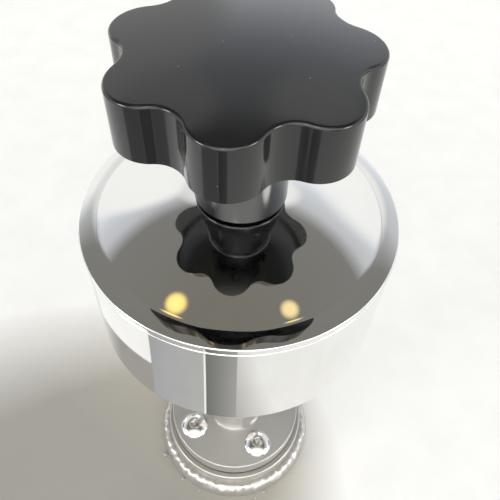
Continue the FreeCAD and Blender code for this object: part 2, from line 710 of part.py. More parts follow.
def star_outline(body):
    """Lobes and notches as tangent arcs, all round."""
    sketch = attached(body, "Sketcher::SketchObject", "star_outline")
    sketch.setExpression("AttachmentOffset.Base.z", "Levels.head_bottom")
    count = int(value("lobe_count"))
    lobe = value("lobe_round")
    root = value("notch_radius")
    hub = value("tip_radius") - lobe
    half = math.pi / count
    notch = ((hub ** 2 + root ** 2 - lobe ** 2 - 2 * hub * root * math.cos(half))
             / (2 * (lobe - root + hub * math.cos(half))))
    up = FreeCAD.Vector(0, 0, 1)

    def centre(step):
        """Lobe centres at even steps, notch centres at odd ones."""
        angle = math.radians(value("lobe_angle")) + step * half
        reach = root + notch if step % 2 else hub
        return FreeCAD.Vector(reach * math.cos(angle), reach * math.sin(angle), 0)

    def bearing(start, end):
        return math.atan2(end.y - start.y, end.x - start.x)

    for step in range(0, 2 * count, 2):
        here = centre(step)
        gap = centre(step + 1)
        sketch.addGeometry(Part.ArcOfCircle(Part.Circle(here, up, lobe),
                                            bearing(here, centre(step - 1)), bearing(here, gap)))
        sketch.addGeometry(Part.ArcOfCircle(Part.Circle(gap, up, notch),
                                            bearing(gap, centre(step + 2)), bearing(gap, here)))
    for index in range(0, 2 * count, 2):
        sketch.addConstraint(Sketcher.Constraint("Coincident", index, 2, index + 1, 2))
        sketch.addConstraint(Sketcher.Constraint(
            "Coincident", index + 1, 1, (index + 2) % (2 * count), 1))
    return sketch


def round_edges(body, name, level, radius):
    """Fillet every edge of the body that lies in one level."""
    DOC.recompute()
    base = body.Tip
    height = value(level)
    names = ["Edge%d" % number for number, edge in enumerate(base.Shape.Edges, start=1)
             if abs(edge.BoundBox.ZMin - height) < 1e-4 and abs(edge.BoundBox.ZMax - height) < 1e-4]
    fillet = body.newObject("PartDesign::Fillet", name)
    fillet.Base = (base, names)
    fillet.setExpression("Radius", bound(radius))
    body.Tip = fillet


def star_knob():
    """Lobed head on a round hub, with a socket for the insert."""
    body = new_body("star_knob")
    head = body.newObject("PartDesign::Pad", "star_head")
    head.Profile = star_outline(body)
    head.setExpression("Length", "Sizes.head_height")
    body.Tip = head
    round_edges(body, "top_rounding", "head_top", "top_edge_round")
    round_edges(body, "bottom_rounding", "head_bottom", "bottom_edge_round")
    primitive(body, "AdditiveCylinder", "hub", {
        "Radius": "Sizes.hub_radius", "Height": "Sizes.hub_height + Sizes.bottom_edge_round",
        "AttachmentOffset.Base.z": "Levels.hub_bottom"})
    primitive(body, "SubtractiveCylinder", "insert_socket", {
        "Radius": "Sizes.insert_radius", "Height": "Levels.spindle_top - Levels.hub_bottom",
        "AttachmentOffset.Base.z": "Levels.hub_bottom"})
    primitive(body, "SubtractiveCylinder", "grub_hole", {
        "Radius": "Sizes.grub_radius", "Height": "Sizes.hub_radius",
        "AttachmentOffset.Base.y": "Levels.grub_level"}, along="Y")
    return body


def knob_insert():
    """Metal bush moulded into the knob, cross-drilled for the set screw."""
    body = ring("knob_insert", "spindle_radius", "insert_radius", "insert_bottom", "spindle_top")
    primitive(body, "SubtractiveCylinder", "insert_grub_hole", {
        "Radius": "Sizes.grub_radius", "Height": "Sizes.insert_radius + 1",
        "AttachmentOffset.Base.y": "Levels.grub_level"}, along="Y")
    return body


def knob_set_screw():
    """Grub screw that bears on the spindle."""
    body = new_body("knob_set_screw")
    primitive(body, "AdditiveCylinder", "grub", {
        "Radius": "Sizes.grub_radius", "Height": "Sizes.grub_length",
        "AttachmentOffset.Base.y": "Levels.grub_level",
        "AttachmentOffset.Base.z": "-Sizes.spindle_radius"}, along="Y")
    primitive(body, "SubtractivePrism", "grub_socket", {
        "Circumradius": "Sizes.grub_socket_radius", "Height": "Sizes.grub_socket_depth",
        "AttachmentOffset.Base.y": "Levels.grub_level",
        "AttachmentOffset.Base.z": "-(Sizes.spindle_radius + Sizes.grub_length"
                                   " - Sizes.grub_socket_depth)"}, along="Y")
    return body


def build():
    return [
        weld_pad(), weld_bead(), base_gasket(), foot_flange(), flange_screws(),
        ring("stem_tube", "passage_radius", "stem_radius", "flange_bottom", "stem_end"),
        valve_body(),
        inlet_washer(), inlet_fitting(), seat_ring(),
        seal_ring("seat_seal", "Sizes.seat_radius", "Sizes.ring_section",
                  "Levels.seat_groove_low + 0.2"),
        flow_plug(), plug_carrier(),
        seal_ring("plug_seal", "Levels.carrier_radius", "Sizes.ring_section",
                  "Levels.carrier_groove_low + 0.2"),
        plug_spring(), guide_pin(), thrust_nut(),
        ring("thrust_washer_lower", "thrust_nut_bore", "collar_radius", "thrust_nut_top",
             "lower_washer_top"),
        ring("thrust_washer_upper", "spindle_bore", "collar_radius", "upper_washer_bottom",
             "pocket_top"),
        bonnet(),
        seal_ring("bonnet_seal", "Sizes.chamber_radius", "Sizes.bonnet_seal_section",
                  "Levels.spigot_groove_low + 0.1"),
        bonnet_screws(), packing_rings(), gland_nut(), drum_plate(),
        ring("drum_shell", "plate_radius", "cap_radius", "skirt_bottom", "shell_top"),
        dome_cover(), dome_bush(), spindle(), star_knob(), knob_insert(), knob_set_screw()]


def check(pieces):
    """Stop if any object failed or any piece has no valid solid."""
    DOC.recompute()
    for item in DOC.Objects:
        if "Invalid" in item.State or "Error" in item.State:
            raise RuntimeError("%s is in state %s" % (item.Label, item.State))
    for piece in pieces:
        shape = piece.Shape
        if shape.isNull() or not shape.isValid() or not shape.Solids:
            raise RuntimeError(piece.Label + " has no valid solid")


pieces = build()
check(pieces)
os.makedirs("parts", exist_ok=True)
for piece in pieces:
    piece.Shape.exportStep("parts/%s.step" % piece.Label)
    print("%-20s %d solids %10.2f mm3" % (piece.Label, len(piece.Shape.Solids), piece.Shape.Volume))
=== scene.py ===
"""Flow control valve: star knob, polished drum, stem and welded foot around the CAD frame."""

import json
import math
import random

import bmesh
import bpy
from bpy.props import FloatProperty, FloatVectorProperty, IntProperty, PointerProperty
from mathutils import Matrix, Vector, noise


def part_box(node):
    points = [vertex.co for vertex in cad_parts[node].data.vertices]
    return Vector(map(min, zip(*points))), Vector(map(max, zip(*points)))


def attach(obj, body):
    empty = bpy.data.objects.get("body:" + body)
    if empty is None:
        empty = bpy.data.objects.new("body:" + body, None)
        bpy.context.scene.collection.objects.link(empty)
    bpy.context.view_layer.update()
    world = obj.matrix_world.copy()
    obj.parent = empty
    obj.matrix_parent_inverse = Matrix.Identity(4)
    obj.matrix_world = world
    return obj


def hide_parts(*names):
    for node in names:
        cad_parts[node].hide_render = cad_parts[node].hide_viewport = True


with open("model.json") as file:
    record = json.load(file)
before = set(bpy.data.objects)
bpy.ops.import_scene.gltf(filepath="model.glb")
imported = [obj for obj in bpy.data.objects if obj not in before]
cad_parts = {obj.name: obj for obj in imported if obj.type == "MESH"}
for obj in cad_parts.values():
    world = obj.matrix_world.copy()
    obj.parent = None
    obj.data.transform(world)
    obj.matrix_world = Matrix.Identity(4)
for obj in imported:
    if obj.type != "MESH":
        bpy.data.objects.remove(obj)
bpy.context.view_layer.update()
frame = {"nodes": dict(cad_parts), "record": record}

bl_info = {
    "name": "Flow Control Valve",
    "version": (1, 0, 0),
    "blender": (4, 5, 0),
    "location": "View3D > Sidebar > Valve",
    "description": "Builds a hand-turned flow control valve around its CAD frame",
    "category": "Object",
}

LATHE_STEPS = 192
MM = 0.001


def length(name, description, default):
    return FloatProperty(name=name, description=description, default=default, min=0.0,
                         unit="LENGTH", precision=5)


def angle(name, description, degrees):
    return FloatProperty(name=name, description=description, default=math.radians(degrees),
                         unit="ROTATION")


def colour(name, description, default):
    return FloatVectorProperty(name=name, description=description, default=default,
                               subtype="COLOR", size=3, min=0.0, max=1.0)


def low(node):
    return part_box(node)[0]


def high(node):
    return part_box(node)[1]


class KnobSizes(bpy.types.PropertyGroup):
    lobes: IntProperty(name="Lobes", description="Lobes round the head", default=7, min=3)
    tip: length("Tip radius", "Axis to the tip of a lobe", 0.025)
    notch: length("Notch radius", "Axis to the bottom of a notch", 0.0205)
    lobe_round: length("Lobe rounding", "Radius of each lobe's arc", 0.007)
    lobe_angle: angle("Lobe angle", "Direction of the first lobe", 5.65)
    head: length("Head height", "Thickness of the lobed head", 0.0119)
    top_edge: length("Top edge", "Rounding of the upper edge", 0.0006)
    bottom_edge: length("Bottom edge", "Rounding of the lower edge", 0.0016)
    crown: length("Crown", "Rise of the slightly domed top", 0.0014)
    drop: length("Edge drop", "Top edge below the flat top's level", 0.0006)
    hub: length("Hub radius", "Radius of the round hub", 0.010)
    colour: colour("Moulding", "Black phenolic moulding", (0.0045, 0.0048, 0.0056))


class DrumSizes(bpy.types.PropertyGroup):
    rise: length("Dome rise", "Rim to the top of the dome's curve", 0.0061)
    drop: length("Shoulder drop", "Rim to the start of the shoulder", 0.00025)
    shoulder: length("Shoulder width", "Width of the flatter band at the rim", 0.0042)
    shoulder_round: length("Shoulder radius", "Radius of the shoulder's curve", 0.036)
    wall: length("Wall", "Thickness of dome and shell", 0.0015)
    rim: length("Rim band", "Height of the dome's rim", 0.0018)
    lip: length("Lip", "Depth of the dome's lip inside the shell", 0.003)
    seam: length("Seam", "Rounding of the edges at the rim's seam", 0.0003)
    colour: colour("Chrome", "Polished metal of the drum", (0.86, 0.86, 0.85))


class FootSizes(bpy.types.PropertyGroup):
    neck: length("Neck radius", "Radius of the body's lower end", 0.012)
    taper: length("Taper", "Height of the neck's taper", 0.007)
    outlet: length("Outlet radius", "Radius of the recess under the pad", 0.006)
    outlet_depth: length("Outlet depth", "Depth of the recess under the pad", 0.008)
    passage: length("Passage", "Radius of the flow passage", 0.0045)
    bolt_circle: length("Bolt circle", "Axis to the foot's screws", 0.0168)
    bolt_angle: angle("Bolt angle", "Direction of the first screw", 30.0)
    bolts: IntProperty(name="Screws", description="Screws in the foot", default=4, min=1)
    head: length("Screw head", "Radius of a button head", 0.00475)
    head_edge: length("Head edge", "Height of the head's straight edge", 0.0005)
    head_height: length("Head height", "Height of a button head", 0.00275)
    socket: length("Socket", "Half the width across the socket's flats", 0.0015)
    socket_depth: length("Socket depth", "Depth of the hexagon socket", 0.0016)
    edge: length("Edge rounding", "Broken edges of the turned steel", 0.0005)
    colour: colour("Steel", "Satin stainless steel", (0.60, 0.585, 0.555))


class StageSizes(bpy.types.PropertyGroup):
    distance: length("Camera distance", "Camera to the middle of the drum's rim", 0.12526)
    elevation: angle("Camera elevation", "Height of the camera above the rim", 47.48)
    pan: angle("Pan", "Turn of the camera to one side", -1.117)
    tilt: angle("Tilt", "Turn of the camera up or down", 4.165)
    roll: angle("Roll", "Turn of the camera about its own axis", 1.593)
    lens: FloatProperty(name="Lens", description="Focal length in millimetres on a 36 mm frame",
                        default=40.2, min=10.0)
    floor: length("Floor", "Half the floor's width", 2.5)
    floor_colour: colour("Floor", "Pale floor", (0.88, 0.88, 0.87))
    # Darker warm floor round the foot and to its left: partly the grey plate's own tone, partly
    # painted shade cast by the drum.
    foot_plate_and_shade_colour: colour("Near floor", "Floor round the foot", (0.40, 0.38, 0.33))
    left_plate_and_shade_colour: colour("Left floor", "Floor at the left of the foot", (0.32, 0.31, 0.285))
    sky_tilt: FloatVectorProperty(name="Sky tilt", description="Direction of the sky's dim part",
                                  default=(-0.05, -0.20, 0.96), size=3)


# Sky: angle above the tilted horizon in degrees, and radiance.
SKY = (
    (0, (1.75, 1.79, 1.86)), (9, (1.55, 1.60, 1.70)), (19, (0.96, 1.00, 1.07)),
    (25, (0.72, 0.75, 0.80)), (32.5, (0.60, 0.61, 0.63)), (35, (0.44, 0.445, 0.45)),
    (38.5, (0.235, 0.232, 0.218)), (90, (0.205, 0.197, 0.165)),
)
# Bright patches: azimuth, elevation, half width, share of it at full strength, radiance.
LAMPS = (
    (-90.0, 10.0, 66.0, 0.35, (2.5, 2.48, 2.42)),
    (-152.0, 17.0, 13.0, 0.4, (9.0, 8.8, 8.4)), (-30.0, 17.0, 13.0, 0.4, (8.0, 7.8, 7.4)),
    (-100.0, 40.0, 7.0, 0.4, (7.0, 6.9, 6.6)),
    (116.0, 20.0, 24.0, 0.78, (1.04, 1.04, 1.02)), (47.0, 14.0, 27.5, 0.6, (1.04, 1.04, 1.02)),
    (105.0, 43.0, 9.0, 0.5, (0.85, 0.85, 0.84)), (75.0, 43.0, 9.0, 0.5, (0.95, 0.95, 0.93)),
    (-175.6, 68.5, 4.7, 0.3, (1.55, 1.12, 0.36)), (-9.9, 71.5, 4.0, 0.25, (1.15, 0.90, 0.45)),
)
# Cards on the floor: azimuth and width in degrees, inner and outer radius, and the
# shades at both ends.
CARDS = (
    ("grey_card", -109.8, 20.5, 0.070, 0.40, (0.15, 0.15, 0.145), (0.36, 0.36, 0.355)),
    ("line_card", -111.2, 1.4, 0.070, 0.40, (0.98, 0.98, 0.98), (0.98, 0.98, 0.98)),
    ("left_card", -150.0, 38.8, 0.070, 0.40, (0.36, 0.37, 0.39), (0.46, 0.46, 0.46)),
    ("white_card", -205.0, 55.0, 0.085, 0.60, (0.95, 0.95, 0.95), (0.95, 0.95, 0.95)),
)
# Dark upright flags round the horizon, seen only in the metal: azimuth, width, shade.
FLAGS = (
    (-62.0, 22.0, (0.10, 0.10, 0.11)), (-128.0, 15.0, (0.16, 0.16, 0.17)),
    (15.0, 24.0, (0.13, 0.13, 0.14)), (100.0, 20.0, (0.10, 0.10, 0.11)),
    (165.0, 26.0, (0.14, 0.14, 0.15)),
)
FLAG_REACH = 1.2
FLAG_HEIGHT = 0.26


# Shapes ---------------------------------------------------------------------

def finish_mesh(bm, name, body, material, sharp=math.radians(32)):
    """Turns a bmesh into a smooth-shaded piece that rides on a body."""
    for face in bm.faces:
        face.smooth = True
    for edge in bm.edges:
        if len(edge.link_faces) == 2 and edge.calc_face_angle(0.0) > sharp:
            edge.smooth = False
    mesh = bpy.data.meshes.new(name)
    bm.to_mesh(mesh)
    bm.free()
    piece = bpy.data.objects.new(name, mesh)
    bpy.context.scene.collection.objects.link(piece)
    mesh.materials.append(material)
    normals = piece.modifiers.new("even normals", "WEIGHTED_NORMAL")
    normals.keep_sharp = True
    normals.weight = 90
    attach(piece, body)
    return piece


def arc(centre, radius, start, end, steps):
    """Points (r, z) of an arc about (r, z) centre, between two angles in degrees."""
    points = []
    for step in range(steps + 1):
        turn = math.radians(start + (end - start) * step / steps)
        points.append((centre[0] + radius * math.cos(turn), centre[1] + radius * math.sin(turn)))
    return points


def lathe(bm, profile, closed=True, steps=LATHE_STEPS, segments=4):
    """Spins a profile of (r, z) or (r, z, rounding) points about Z; returns the new vertices."""
    before = set(bm.verts)
    verts = [bm.verts.new((point[0], 0.0, point[1])) for point in profile]
    count = len(verts)
    edges = [bm.edges.new((verts[i], verts[(i + 1) % count]))
             for i in range(count if closed else count - 1)]
    rounding = {}
    for vert, point in zip(verts, profile):
        if len(point) > 2 and point[2] > 0:
            rounding.setdefault(point[2], []).append(vert)
    for radius, corners in rounding.items():
        bmesh.ops.bevel(bm, geom=corners, offset=radius, offset_type="OFFSET", segments=segments,
                        profile=0.5, affect="VERTICES", material=-1)
    ring = [v for v in bm.verts if v not in before]
    links = {e for v in ring for e in v.link_edges}
    bmesh.ops.spin(bm, geom=ring + list(links), cent=(0, 0, 0), axis=(0, 0, 1), dvec=(0, 0, 0),
                   angle=math.tau, steps=steps, use_merge=True, use_duplicate=False)
    made = [v for v in bm.verts if v not in before]
    bmesh.ops.remove_doubles(bm, verts=made, dist=1e-7)
    made = [v for v in bm.verts if v not in before]
    faces = list({f for v in made for f in v.link_faces})
    bmesh.ops.recalc_face_normals(bm, faces=faces)
    return made


def hexagon_reach(turn, flat):
    """Distance from the axis to a hexagon's side, at an angle, from half its width."""
    sector = math.radians(60)
    return flat / math.cos((turn + sector / 2) % sector - sector / 2)


def star_reach(turn, sizes):
    """Distance from the axis to the star's outline: lobe arcs tangent to notch arcs."""
    half = math.pi / sizes.lobes
    hub = sizes.tip - sizes.lobe_round
    root = sizes.notch
    lobe = sizes.lobe_round
    notch = ((hub ** 2 + root ** 2 - lobe ** 2 - 2 * hub * root * math.cos(half))
             / (2 * (lobe - root + hub * math.cos(half))))
    away = abs((turn - sizes.lobe_angle + half) % (2 * half) - half)
    far = root + notch
    share = lobe / (lobe + notch)
    touch_x = hub + (far * math.cos(half) - hub) * share
    touch_y = far * math.sin(half) * share
    if away < math.atan2(touch_y, touch_x):
        return hub * math.cos(away) + math.sqrt(lobe ** 2 - (hub * math.sin(away)) ** 2)
    rest = half - away
    return far * math.cos(rest) - math.sqrt(max(0.0, notch ** 2 - (far * math.sin(rest)) ** 2))


def lay_along_y(bm, verts, centre_z):
    """Turns a form made about Z so that it lies along +Y at a height."""
    bmesh.ops.rotate(bm, verts=verts, cent=(0, 0, 0), matrix=Matrix.Rotation(-math.pi / 2, 3, "X"))
    bmesh.ops.translate(bm, verts=verts, vec=(0, 0, centre_z))


def bored(piece, radius, start, end):
    """Cuts a round hole along Y through a piece, with start and end on its axis."""
    bm = bmesh.new()
    bmesh.ops.create_cone(bm, cap_ends=True, segments=48, radius1=radius, radius2=radius,
                          depth=end.y - start.y)
    bmesh.ops.rotate(bm, verts=bm.verts, cent=(0, 0, 0), matrix=Matrix.Rotation(-math.pi / 2, 3, "X"))
    bmesh.ops.translate(bm, verts=bm.verts, vec=(start + end) / 2)
    mesh = bpy.data.meshes.new("drill")
    bm.to_mesh(mesh)
    bm.free()
    drill = bpy.data.objects.new("drill", mesh)
    bpy.context.scene.collection.objects.link(drill)
    normals = piece.modifiers[0]
    normals.show_viewport = False
    cut = piece.modifiers.new("hole", "BOOLEAN")
    cut.object = drill
    cut.solver = "EXACT"
    shown = piece.evaluated_get(bpy.context.evaluated_depsgraph_get())
    drilled = bpy.data.meshes.new_from_object(shown)
    piece.modifiers.remove(cut)
    normals.show_viewport = True
    piece.data = drilled
    drilled.name = piece.name
    bpy.data.objects.remove(drill)
    bpy.data.meshes.remove(mesh)


# Finishes -------------------------------------------------------------------

class Finish:
    """A material under construction: nodes by short calls, on Object coordinates."""

    def __init__(self, name, base, metallic, roughness):
        self.material = bpy.data.materials.new(name)
        self.material.use_nodes = True
        self.tree = self.material.node_tree
        self.shader = self.tree.nodes["Principled BSDF"]
        self.shader.inputs["Base Color"].default_value = (*base, 1.0)
        self.shader.inputs["Metallic"].default_value = metallic
        self.shader.inputs["Roughness"].default_value = roughness
        self.place = self.node("ShaderNodeTexCoord").outputs["Object"]

    def node(self, kind, **values):
        node = self.tree.nodes.new(kind)
        for name, value in values.items():
            setattr(node, name, value)
        return node

    def join(self, output, socket):
        self.tree.links.new(output, socket)
        return output

    def stretched(self, scale, location=(0, 0, 0)):
        """Object coordinates through a Mapping node."""
        mapping = self.node("ShaderNodeMapping")
        mapping.inputs["Scale"].default_value = scale
        mapping.inputs["Location"].default_value = location
        self.join(self.place, mapping.inputs["Vector"])
        return mapping.outputs["Vector"]

    def noise(self, scale, detail=3.0, vector=None, rough=0.5):
        node = self.node("ShaderNodeTexNoise")
        node.inputs["Scale"].default_value = scale
        node.inputs["Detail"].default_value = detail
        node.inputs["Roughness"].default_value = rough
        self.join(vector or self.place, node.inputs["Vector"])
        return node.outputs["Fac"]

    def polar(self):
        """Distance from the axis and height, as a vector that is even all round."""
        split = self.node("ShaderNodeSeparateXYZ")
        self.join(self.place, split.inputs[0])
        square = [self.math("MULTIPLY", split.outputs[i], split.outputs[i]) for i in (0, 1)]
        reach = self.math("SQRT", self.math("ADD", square[0], square[1]))
        merge = self.node("ShaderNodeCombineXYZ")
        self.join(reach, merge.inputs[0])
        self.join(split.outputs[2], merge.inputs[2])
        return merge.outputs[0]

    def math(self, operation, first, second=None, clamp=False):
        node = self.node("ShaderNodeMath", operation=operation, use_clamp=clamp)
        for index, item in enumerate((first, second)):
            if item is None:
                continue
            if isinstance(item, (int, float)):
                node.inputs[index].default_value = item
            else:
                self.join(item, node.inputs[index])
        return node.outputs[0]

    def spread(self, value, low_in, high_in, low_out, high_out):
        node = self.node("ShaderNodeMapRange")
        node.inputs["From Min"].default_value = low_in
        node.inputs["From Max"].default_value = high_in
        node.inputs["To Min"].default_value = low_out
        node.inputs["To Max"].default_value = high_out
        self.join(value, node.inputs["Value"])
        return node.outputs["Result"]

    def blend(self, factor, first, second):
        """Mixes two colours, or a colour with a link, by a factor."""
        node = self.node("ShaderNodeMix", data_type="RGBA")
        self.join(factor, node.inputs["Factor"])
        for socket, item in ((node.inputs[6], first), (node.inputs[7], second)):
            if isinstance(item, tuple):
                socket.default_value = (*item, 1.0)
            else:
                self.join(item, socket)
        return node.outputs[2]

    def bump(self, height, depth, strength=1.0, below=None):
        node = self.node("ShaderNodeBump")
        node.inputs["Strength"].default_value = strength
        node.inputs["Distance"].default_value = depth
        self.join(height, node.inputs["Height"])
        if below is not None:
            self.join(below, node.inputs["Normal"])
        return self.join(node.outputs["Normal"], self.shader.inputs["Normal"])

    def roughness(self, value):
        self.join(value, self.shader.inputs["Roughness"])

    def base(self, value):
        self.join(value, self.shader.inputs["Base Color"])


def black_moulding(base):
    """Glossy phenolic: faint orange peel, wiped smudges and a few specks of dust."""
    finish = Finish("black_moulding", base, 0.0, 0.13)
    finish.shader.inputs["IOR"].default_value = 1.58
    smudge = finish.noise(130.0, 4.0)
    grain = finish.noise(2400.0, 2.0)
    dust = finish.spread(finish.noise(2100.0, 0.0), 0.90, 0.92, 0.0, 1.0)
    rough = finish.math("ADD", finish.spread(smudge, 0.35, 0.7, 0.08, 0.17),
                        finish.math("MULTIPLY", dust, 0.4))
    finish.roughness(rough)
    finish.base(finish.blend(finish.math("MULTIPLY", dust, 0.7), tuple(base), (0.42, 0.41, 0.39)))
    peel = finish.bump(finish.noise(420.0, 2.0), 0.00003, 0.20)
    finish.bump(grain, 0.000008, 0.2, peel)
    return finish.material


def polished_chrome(base):
    """Mirror-polished metal: fine turning marks, wiped haze and a slight waviness."""
    finish = Finish("polished_chrome", base, 1.0, 0.04)
    rings = finish.polar()
    marks = finish.noise(5200.0, 2.0, rings)
    haze = finish.noise(48.0, 5.0)
    fine = finish.spread(marks, 0.3, 0.7, 0.0, 0.016)
    finish.roughness(finish.math("ADD", finish.spread(haze, 0.4, 0.75, 0.018, 0.060), fine))
    finish.base(finish.blend(finish.spread(haze, 0.35, 0.8, 0.0, 1.0), tuple(base),
                             tuple(c * 0.93 for c in base)))
    wave = finish.bump(finish.noise(30.0, 1.0), 0.0006, 0.018)
    finish.bump(marks, 0.000004, 0.08, wave)
    return finish.material


def satin_steel(name, base, rough=0.30, heat=False, foot=0.0):
    """Turned stainless steel with tool rings, blotches and, near a weld, heat tint."""
    finish = Finish(name, base, 1.0, rough)
    rings = finish.noise(2600.0, 3.0, finish.polar(), 0.6)
    blotch = finish.noise(90.0, 5.0)
    pits = finish.noise(1900.0, 2.0)
    finish.roughness(finish.math("ADD", finish.spread(blotch, 0.3, 0.75, rough - 0.07, rough + 0.10),
                                 finish.spread(rings, 0.3, 0.7, -0.04, 0.05)))
    shade = finish.blend(finish.spread(blotch, 0.35, 0.7, 0.0, 1.0), tuple(base),
                         tuple(c * 0.84 for c in base))
    if heat:
        split = finish.node("ShaderNodeSeparateXYZ")
        finish.join(finish.place, split.inputs[0])
        climb = finish.math("ADD", split.outputs[2],
                            finish.spread(finish.noise(260.0, 2.0), 0.3, 0.7, -0.0018, 0.0018))
        straw = finish.spread(climb, foot, foot + 0.0045, 1.0, 0.0)
        shade = finish.blend(finish.math("MULTIPLY", straw, 0.55, True), shade, (0.50, 0.36, 0.17))
        blue = finish.spread(climb, foot - 0.001, foot + 0.0016, 1.0, 0.0)
        shade = finish.blend(finish.math("MULTIPLY", blue, 0.5, True), shade, (0.20, 0.22, 0.30))
    finish.base(shade)
    lines = finish.bump(rings, 0.00003, 0.35)
    finish.bump(pits, 0.00001, 0.3, lines)
    return finish.material


def weld_metal(base):
    """As-welded stainless: bright, uneven and slightly tinted."""
    finish = Finish("weld_metal", base, 1.0, 0.26)
    patch = finish.noise(420.0, 4.0)
    tint = finish.blend(finish.spread(patch, 0.4, 0.7, 0.0, 0.7), tuple(base), (0.50, 0.42, 0.30))
    soot = finish.noise(900.0, 3.0)
    finish.base(finish.blend(finish.spread(soot, 0.58, 0.75, 0.0, 0.65), tint, (0.16, 0.15, 0.14)))
    finish.roughness(finish.spread(patch, 0.3, 0.7, 0.16, 0.42))
    crater = finish.bump(finish.noise(800.0, 4.0), 0.00025, 0.6)
    finish.bump(soot, 0.00008, 0.4, crater)
    return finish.material


def machined_brass(base):
    finish = Finish("machined_brass", base, 1.0, 0.26)
    rings = finish.noise(2200.0, 3.0, finish.polar())
    stain = finish.noise(160.0, 5.0)
    finish.base(finish.blend(finish.spread(stain, 0.45, 0.75, 0.0, 0.8), tuple(base),
                             (0.42, 0.27, 0.11)))
    finish.roughness(finish.spread(stain, 0.3, 0.7, 0.20, 0.36))
    finish.bump(rings, 0.00003, 0.35)
    return finish.material


def dull_rubber(name, base):
    finish = Finish(name, base, 0.0, 0.62)
    bloom = finish.noise(240.0, 5.0)
    finish.base(finish.blend(finish.spread(bloom, 0.4, 0.75, 0.0, 0.6), tuple(base),
                             tuple(min(1.0, c * 2.2 + 0.01) for c in base)))
    finish.roughness(finish.spread(bloom, 0.3, 0.7, 0.52, 0.78))
    finish.bump(finish.noise(3000.0, 3.0), 0.00004, 0.5)
    return finish.material


def stock_finish(slot):
    """The finish of each material slot, made once."""
    made = bpy.data.materials
    knob = bpy.context.scene.valve_knob
    drum = bpy.context.scene.valve_drum
    foot = bpy.context.scene.valve_foot
    makers = {
        "knob_black": ("black_moulding", lambda: black_moulding(knob.colour[:])),
        "drum_chrome": ("polished_chrome", lambda: polished_chrome(drum.colour)),
        "body_steel": ("body_steel", lambda: satin_steel("body_steel", foot.colour, 0.27)),
        "foot_steel": ("foot_steel", lambda: satin_steel(
            "foot_steel", foot.colour, 0.34, True, 0.004)),
        "weld_metal": ("weld_metal", lambda: weld_metal((0.70, 0.68, 0.64))),
        "screw_steel": ("screw_steel", lambda: satin_steel("screw_steel", (0.74, 0.73, 0.71), 0.16)),
        "spindle_steel": ("spindle_steel", lambda: satin_steel(
            "spindle_steel", (0.66, 0.66, 0.66), 0.20)),
        "brass_parts": ("machined_brass", lambda: machined_brass((0.72, 0.53, 0.24))),
        "rubber_seals": ("seal_rubber", lambda: dull_rubber("seal_rubber", (0.012, 0.012, 0.013))),
        "gasket_black": ("gasket_rubber", lambda: dull_rubber("gasket_rubber", (0.03, 0.03, 0.03))),
        "packing_grey": ("packing_graphite", lambda: dull_rubber(
            "packing_graphite", (0.09, 0.09, 0.095))),
    }
    name, make = makers[slot]
    return made.get(name) or make()


# Operators ------------------------------------------------------------------

class VALVE_OT_knob(bpy.types.Operator):
    """Lobed head and round hub of the hand knob"""
    bl_idname = "valve.knob"
    bl_label = "Star Knob"

    def execute(self, context):
        sizes = context.scene.valve_knob
        bottom = low("star_knob").z
        top = high("star_knob").z
        under = top - sizes.head
        bm = bmesh.new()
        segments = sizes.lobes * 48
        bmesh.ops.create_circle(bm, cap_ends=True, segments=segments, radius=1.0)
        for vert in bm.verts:
            turn = math.atan2(vert.co.y, vert.co.x)
            reach = star_reach(turn, sizes)
            vert.co = (reach * math.cos(turn), reach * math.sin(turn), under)
        lifted = bmesh.ops.extrude_face_region(bm, geom=list(bm.faces))["geom"]
        raised = [item for item in lifted if isinstance(item, bmesh.types.BMVert)]
        bmesh.ops.translate(bm, verts=raised, vec=(0, 0, sizes.head - sizes.drop))
        cap = next(item for item in lifted if isinstance(item, bmesh.types.BMFace))
        upper = list(cap.edges)
        lower = [e for e in bm.edges if all(abs(v.co.z - under) < 1e-9 for v in e.verts)]
        bmesh.ops.recalc_face_normals(bm, faces=bm.faces)
        bmesh.ops.bevel(bm, geom=upper, offset=sizes.top_edge, offset_type="OFFSET", segments=5,
                        profile=0.5, affect="EDGES", material=-1)
        bmesh.ops.bevel(bm, geom=lower, offset=sizes.bottom_edge, offset_type="OFFSET",
                        segments=6, profile=0.5, affect="EDGES", material=-1)
        self.crown(bm, sizes, under + sizes.head / 2)
        lathe(bm, [(0.0, under + 2 * MM), (0.0, bottom), (sizes.hub, bottom, 0.4 * MM),
                   (sizes.hub, under - 1.2 * MM), (sizes.hub + 0.35 * MM, under - 0.35 * MM),
                   (sizes.hub + 1.2 * MM, under + 0.1 * MM),
                   (sizes.hub + 1.2 * MM, under + 2 * MM)])
        piece = finish_mesh(bm, "knob_moulding", "knob", stock_finish("knob_black"))
        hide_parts("star_knob")
        screw = (low("knob_set_screw") + high("knob_set_screw")) / 2
        bored(piece, 2.0 * MM, Vector((0, low("knob_set_screw").y, screw.z)),
              Vector((0, sizes.hub + 1 * MM, screw.z)))
        return {"FINISHED"}

    def crown(self, bm, sizes, middle):
        """Fills the flat top with rings and lifts everything above the middle into a dome."""
        top = max(bm.faces, key=lambda f: f.calc_center_median().z - 1e3 * (len(f.verts) < 9))
        loop = list(top.edges)
        bmesh.ops.delete(bm, geom=[top], context="FACES_ONLY")
        rings = 14
        for step in range(1, rings + 1):
            grown = bmesh.ops.extrude_edge_only(bm, edges=loop)["geom"]
            verts = [item for item in grown if isinstance(item, bmesh.types.BMVert)]
            loop = [item for item in grown if isinstance(item, bmesh.types.BMEdge)]
            share = (rings - step) / (rings - step + 1)
            bmesh.ops.scale(bm, verts=verts, vec=(share, share, 1.0))
        bmesh.ops.remove_doubles(bm, verts=bm.verts, dist=1e-6)
        for vert in bm.verts:
            if vert.co.z > middle:
                reach = math.hypot(vert.co.x, vert.co.y) / sizes.tip
                vert.co.z += sizes.crown * (1.0 - reach ** 2)
        bmesh.ops.recalc_face_normals(bm, faces=bm.faces)


